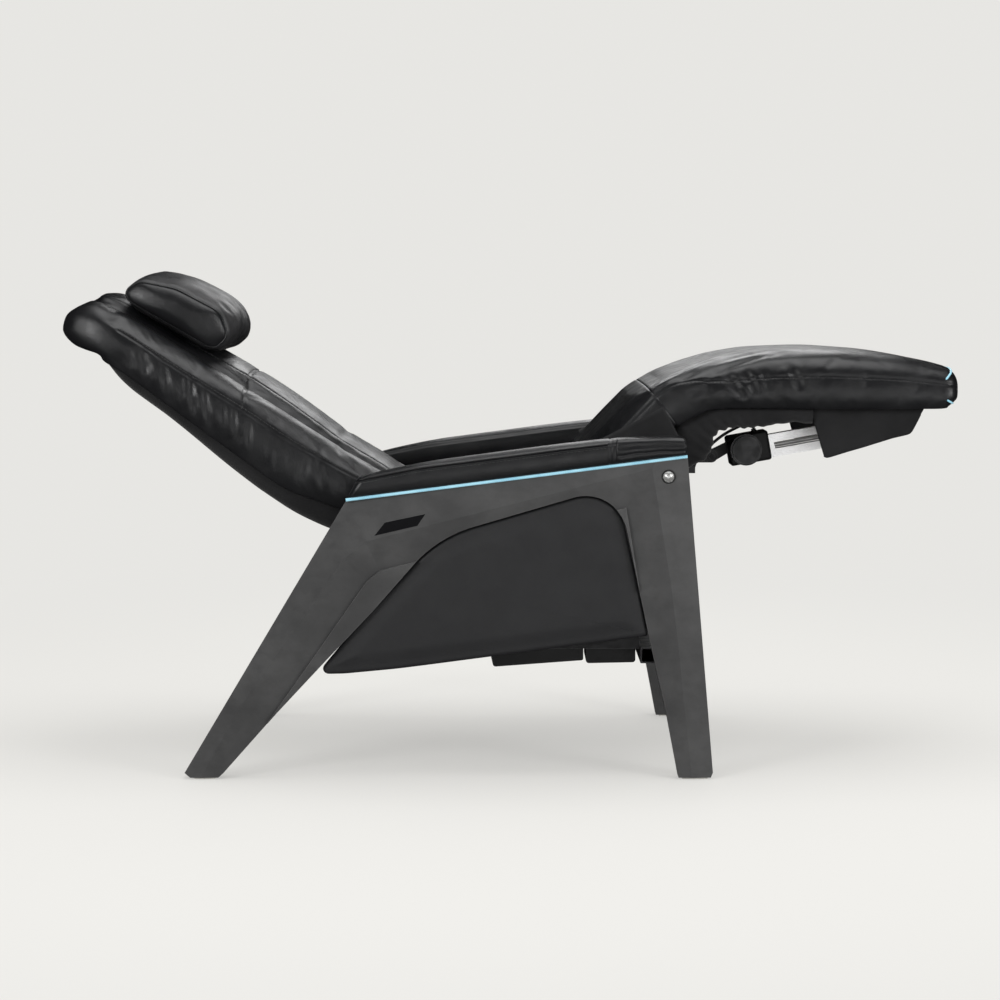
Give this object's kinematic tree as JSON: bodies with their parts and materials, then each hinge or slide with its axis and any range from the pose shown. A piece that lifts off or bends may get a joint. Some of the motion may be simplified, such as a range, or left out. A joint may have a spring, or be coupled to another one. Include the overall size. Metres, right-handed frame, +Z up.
{
  "type": "zero gravity recliner",
  "caption": "Motorised reclining lounge chair in padded leather on angular side frames, with a tilting seat and back, a folding leg rest and a movable head pillow.",
  "frame": {"origin": "on the floor, under the middle of the chair's overall length and width, with the chair reclined and its leg rest raised", "axes": "+X towards the foot end, +Y towards the occupant's left, +Z up"},
  "size_m": [1.7242, 0.768, 0.953],
  "materials": {
    "stained_wood": "satin",
    "upholstery_leather": "satin",
    "panel_plywood": "matte",
    "piping_cord": "satin",
    "badge_plate": "gloss",
    "black_steel": "satin",
    "bright_steel": "satin",
    "dark_washer": "matte",
    "bushing_plastic": "matte",
    "housing_plastic": "satin",
    "motor_paint": "satin",
    "rail_aluminium": "satin",
    "cover_fabric": "matte",
    "hook_and_loop": "matte",
    "cable_jacket": "matte"
  },
  "bodies": {
    "base": {"right_side_frame": "stained_wood", "left_side_frame": "stained_wood", "right_armrest_pad": "upholstery_leather", "left_armrest_pad": "upholstery_leather", "armrest_boards": "panel_plywood", "arm_piping": "piping_cord", "right_side_panel": "upholstery_leather", "left_side_panel": "upholstery_leather", "panel_boards": "panel_plywood", "name_plates": "badge_plate", "side_rails": "black_steel", "front_cross_rail": "black_steel", "rear_cross_rail": "black_steel", "pivot_plates": "black_steel", "pivot_axles": "bright_steel", "frame_bolts": "bright_steel", "bolt_washers": "dark_washer", "rail_bolts": "bright_steel", "foot_glides": "bushing_plastic", "equipment_tray": "black_steel", "power_supply": "housing_plastic", "control_box": "housing_plastic", "power_inlet": "housing_plastic"},
    "seat": {"seat_tubes": "black_steel", "seat_cross_tubes": "black_steel", "hanger_plates": "black_steel", "pivot_bushings": "bushing_plastic", "back_deck": "black_steel", "seat_deck": "black_steel", "recline_crank": "black_steel", "legrest_clevis": "black_steel", "knee_hinge_plates": "black_steel", "knee_pins": "bright_steel", "back_cushion": "upholstery_leather", "seat_cushion": "upholstery_leather", "knee_roll": "upholstery_leather", "back_cover": "cover_fabric", "knee_sleeves": "cover_fabric", "loop_tape": "hook_and_loop"},
    "legrest": {"legrest_tubes": "black_steel", "legrest_hinge_plates": "black_steel", "legrest_board": "panel_plywood", "legrest_cushion": "upholstery_leather", "legrest_sleeves": "cover_fabric", "legrest_flaps": "cover_fabric", "foot_piping": "piping_cord", "drive_bracket": "black_steel"},
    "recline_actuator": {"recline_gearbox": "housing_plastic", "recline_motor": "motor_paint", "recline_rail": "rail_aluminium", "recline_spindle": "bright_steel"},
    "recline_nut": {"recline_slider": "housing_plastic"},
    "legrest_actuator": {"legrest_gearbox": "housing_plastic", "legrest_motor": "motor_paint", "legrest_rail": "rail_aluminium", "legrest_spindle": "bright_steel", "motor_cable": "cable_jacket"},
    "legrest_nut": {"legrest_slider": "housing_plastic"},
    "pillow": {"head_pillow": "upholstery_leather", "hook_tape": "hook_and_loop"}
  },
  "joints": [
    {"name": "recline", "type": "hinge", "parent": "base", "child": "seat", "pos_m": [-0.0034, 0, 0.53], "axis": [0, 1, 0], "range_deg": [0, 28]},
    {"name": "legrest_fold", "type": "hinge", "parent": "seat", "child": "legrest", "pos_m": [0.3846, 0, 0.664], "axis": [0, 1, 0], "range_deg": [0, 44]},
    {"name": "recline_swing", "type": "hinge", "parent": "base", "child": "recline_actuator", "pos_m": [0.2686, 0, 0.262], "axis": [0, 1, 0], "range_deg": [-1, 0]},
    {"name": "recline_travel", "type": "slide", "parent": "recline_actuator", "child": "recline_nut", "axis": [-0.9494, 0, 0.3141], "range_m": [0, 0.08611]},
    {"name": "legrest_swing", "type": "hinge", "parent": "seat", "child": "legrest_actuator", "pos_m": [0.4056, 0, 0.588], "axis": [0, 1, 0], "range_deg": [0, 51.92]},
    {"name": "legrest_travel", "type": "slide", "parent": "legrest_actuator", "child": "legrest_nut", "axis": [0.9844, 0, 0.1761], "range_m": [-0.05074, 0]},
    {"name": "pillow_slide", "type": "slide", "parent": "seat", "child": "pillow", "axis": [-0.864, 0, 0.5035], "range_m": [-0.06, 0.03]}
  ],
  "couplings": [
    {"joint": "recline_swing", "follows": "recline", "ratio": -0.035551},
    {"joint": "recline_travel", "follows": "recline", "m_per_rad": 0.17585},
    {"joint": "legrest_swing", "follows": "legrest_fold", "ratio": 1.1776},
    {"joint": "legrest_travel", "follows": "legrest_fold", "m_per_rad": -0.065942}
  ]
}
